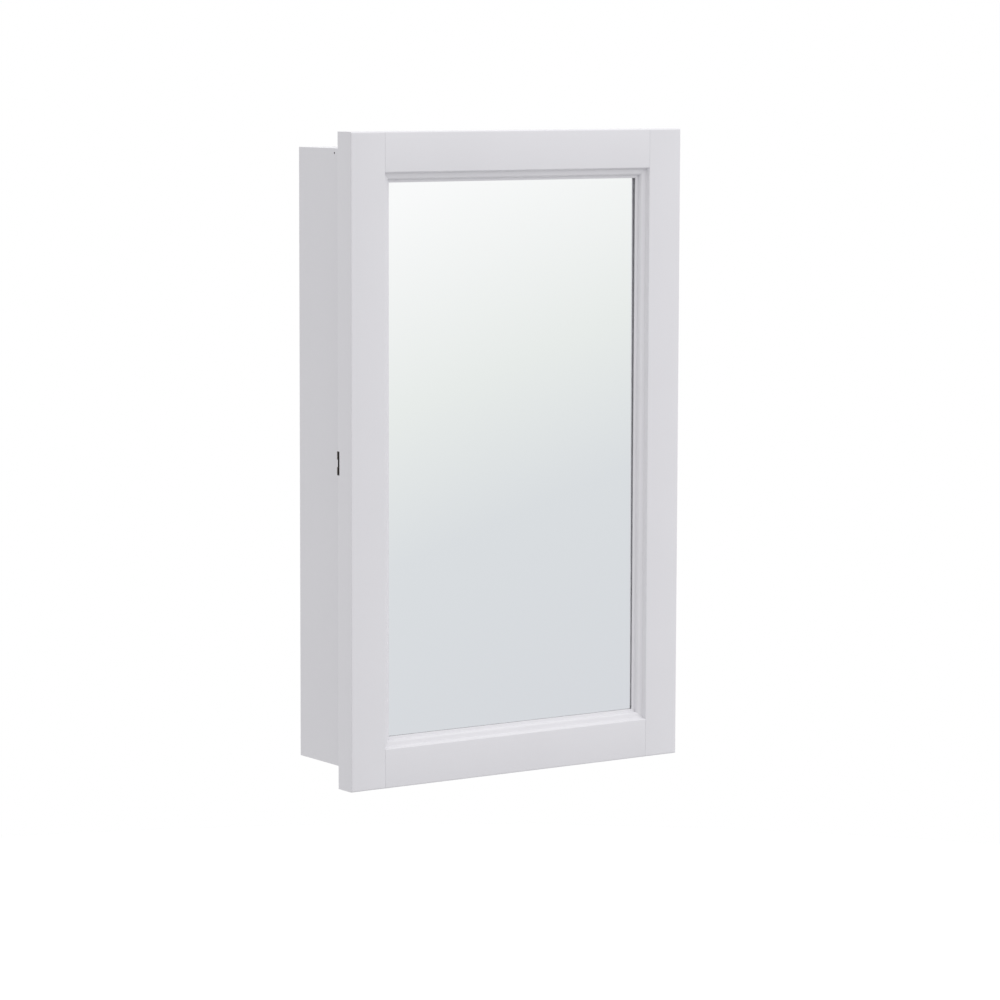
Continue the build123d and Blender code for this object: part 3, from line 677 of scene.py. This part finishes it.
class CABINET_OT_case(bpy.types.Operator):
    """Finishes the case and its shelves."""

    bl_idname = "cabinet.case"
    bl_label = "Case and shelves"

    def execute(self, context):
        dress(CASE_UPRIGHTS, sprayed_enamel("case_enamel_upright", "z", CASE_SHADE))
        dress(CASE_LEVELS + SHELVES, sprayed_enamel("case_enamel_level", "x", CASE_SHADE))
        return {"FINISHED"}


class CABINET_OT_hardware(bpy.types.Operator):
    """Finishes hinges, pegs, catch, pull and fasteners, and builds the bumpers."""

    bl_idname = "cabinet.hardware"
    bl_label = "Hardware"

    def execute(self, context):
        finishes = settings()[0]
        nickel = plated_metal("satin_nickel_plate", finishes.nickel, "z")
        dress(HINGE_NODES + SCREWS + ("strike_plate", "catch_pole_plates"), nickel)
        dress(PEGS, plated_metal("satin_nickel_pegs", finishes.nickel, "x"))
        dress(NAILS, plated_metal("drawn_steel_wire", linear("#8C8A88"), "x", (0.3, 0.5)))
        dress(["edge_pull"], lacquered_bronze("lacquered_bronze"))
        dress(["catch_case"], moulded_plastic("moulded_acetal", "#E4E3DF", 0.38))
        dress(["catch_magnet"], moulded_plastic("pressed_ferrite", "#2C2C2E", 0.5))
        low, high = (np.array(corner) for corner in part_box("door_bumpers"))
        radius = (high[0] - low[0]) / 2
        places = [(low[0] + radius, low[1], z) for z in (low[2] + radius, high[2] - radius)]
        bumpers = domes("urethane_bumpers", places, radius, high[1] - low[1], cast_urethane("cast_urethane"))
        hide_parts("door_bumpers")
        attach(bumpers, "door")
        return {"FINISHED"}


class CABINET_OT_studio(bpy.types.Operator):
    """Builds the floor, the light and the camera."""

    bl_idname = "cabinet.studio"
    bl_label = "Studio"

    def execute(self, context):
        studio = settings()[2]
        stage_floor(studio)
        stage_world(studio)
        stage_lamps(studio)
        stage_camera(studio)
        context.scene.view_settings.view_transform = "Standard"
        return {"FINISHED"}


def seen_rays(tree):
    """A Light Path node, and 1 for the rays that see the background in gloss or through clear things."""
    path = add(tree, "LightPath")
    rays = {0: (path, "Is Glossy Ray"), 1: (path, "Is Transmission Ray")}
    return path, add(tree, "Math", links=rays, operation="ADD")


def stage_floor(studio):
    """A round floor below the cabinet.

    Where it is seen it is white, with the cabinet's soft shadow. It throws light back as a grey floor does.
    """
    material, tree, output = new_material("studio_floor")
    path, shiny = seen_rays(tree)
    rays = {0: (path, "Is Camera Ray"), 1: (shiny, 0)}
    share = add(tree, "Math", links=rays, operation="ADD", use_clamp=True)
    lit = add(tree, "BsdfDiffuse", {"Color": (*linear("#AAAAAC"), 1)})
    white = add(tree, "BsdfDiffuse", {"Color": (*linear("#FBFBFB"), 1)})
    mix = add(tree, "MixShader", links={0: (share, 0), 1: (lit, 0), 2: (white, 0)})
    tree.links.new(mix.outputs[0], output.inputs[0])
    place = (0, 0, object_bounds()[0][2] - studio.floor_drop)
    bpy.ops.mesh.primitive_circle_add(
        vertices=FLOOR_CORNERS, radius=FLOOR_RADIUS, fill_type="NGON", location=place
    )
    floor = bpy.context.object
    floor.name = "studio_floor"
    floor.data.materials.append(material)
    floor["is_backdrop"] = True


def stage_world(studio):
    """Soft light from all round, white to the camera.

    Gloss sees a studio that is white above and falls to a cool pale grey below and to the right, by a ramp
    over the direction's height less half its way to the right.
    """
    world = bpy.data.worlds.new("studio")
    bpy.context.scene.world = world
    world.use_nodes = True
    tree = world.node_tree
    tree.nodes.clear()
    output = add(tree, "OutputWorld")
    place = add(tree, "TexCoord")
    path, shiny = seen_rays(tree)
    slant = add(
        tree, "VectorMath", {1: GLOSS_DIRECTION}, {0: (place, "Generated")}, operation="DOT_PRODUCT"
    )
    gloss_range = dict(zip(("From Min", "From Max"), GLOSS_RANGE))
    share = add(tree, "MapRange", gloss_range, {"Value": (slant, "Value")})
    tones = ((0.0, "#DADCE1"), (0.42, "#DFE2E5"), (0.66, "#EDF0EE"))
    seen = ramp(tree, share, [*[(at, (*linear(tone), 1)) for at, tone in tones], (1.0, WHITE)])
    height = add(tree, "SeparateXYZ", links={0: (place, "Generated")})
    dome_share = add(tree, "MapRange", {"From Min": -1, "From Max": 1}, {"Value": (height, "Z")})
    greys = [(at, (level, level, level, 1)) for at, level in ((0.0, 0.16), (0.5, 0.56), (1.0, 1.0))]
    dome = ramp(tree, dome_share, greys)
    sky = add(tree, "Background", {"Strength": studio.sky}, {"Color": (dome, 0)})
    gloss = add(tree, "Background", {"Strength": 1.0}, {"Color": (seen, 0)})
    white = add(tree, "Background", {"Color": WHITE, "Strength": 1.0})
    unseen = add(tree, "MixShader", links={0: (shiny, 0), 1: (sky, 0), 2: (gloss, 0)})
    whole = add(tree, "MixShader", links={0: (path, "Is Camera Ray"), 1: (unseen, 0), 2: (white, 0)})
    tree.links.new(whole.outputs[0], output.inputs[0])


def stage_lamps(studio):
    """One large lamp above, in front and to the right."""
    place = Vector(LAMP_PLACE)
    data = bpy.data.lights.new("key_lamp", "AREA")
    data.shape = "DISK"
    data.size = LAMP_WIDTH
    data.energy = studio.key
    lamp = bpy.data.objects.new("key_lamp", data)
    lamp.location = place
    lamp.rotation_euler = (-place).to_track_quat("-Z", "Y").to_euler()
    lamp.visible_glossy = False
    bpy.context.collection.objects.link(lamp)


def stage_camera(studio):
    """A camera to the cabinet's left and a little above, looking down at it."""
    turn, dip, roll = radians(CAMERA_TURN), radians(CAMERA_DIP), radians(CAMERA_ROLL)
    ahead = Vector((sin(turn) * cos(dip), cos(turn) * cos(dip), -sin(dip)))
    right = Vector((cos(turn), -sin(turn), 0))
    up = right.cross(ahead)
    rolled_right = right * cos(roll) + up * sin(roll)
    rolled_up = up * cos(roll) - right * sin(roll)
    axes = Matrix((rolled_right, rolled_up, -ahead)).transposed()
    data = bpy.data.cameras.new("camera")
    data.lens = studio.lens
    data.sensor_width = SENSOR_WIDTH
    data.clip_end = SIGHT_END
    camera = bpy.data.objects.new("camera", data)
    camera.matrix_world = Matrix.Translation(CAMERA_PLACE) @ axes.to_4x4()
    bpy.context.collection.objects.link(camera)
    bpy.context.scene.camera = camera


OPERATORS = (
    CABINET_OT_door_frame,
    CABINET_OT_mirror,
    CABINET_OT_case,
    CABINET_OT_hardware,
    CABINET_OT_studio,
)


class CABINET_PT_panel(bpy.types.Panel):
    """Lists the cabinet's operators and values."""

    bl_label = "Cabinet"
    bl_idname = "CABINET_PT_panel"
    bl_space_type = "VIEW_3D"
    bl_region_type = "UI"
    bl_category = "Cabinet"

    def draw(self, context):
        for group in settings():
            box = self.layout.box()
            for name in group.__annotations__:
                box.prop(group, name)
        for operator in OPERATORS:
            self.layout.operator(operator.bl_idname)


GROUPS = {
    "cabinet_finishes": CabinetFinishes,
    "cabinet_sizes": CabinetSizes,
    "cabinet_studio": StudioSettings,
}


def register():
    """Registers the classes and hangs the values on the scene."""
    for cls in (*GROUPS.values(), *OPERATORS, CABINET_PT_panel):
        bpy.utils.register_class(cls)
    for name, group in GROUPS.items():
        setattr(bpy.types.Scene, name, PointerProperty(type=group))


def unregister():
    """Takes the values and classes away again."""
    for name in GROUPS:
        delattr(bpy.types.Scene, name)
    for cls in reversed((*GROUPS.values(), *OPERATORS, CABINET_PT_panel)):
        bpy.utils.unregister_class(cls)


def main():
    """Builds everything."""
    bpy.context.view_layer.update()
    register()
    for operator in OPERATORS:
        space, name = operator.bl_idname.split(".")
        getattr(getattr(bpy.ops, space), name)()


if __name__ == "__main__":
    main()
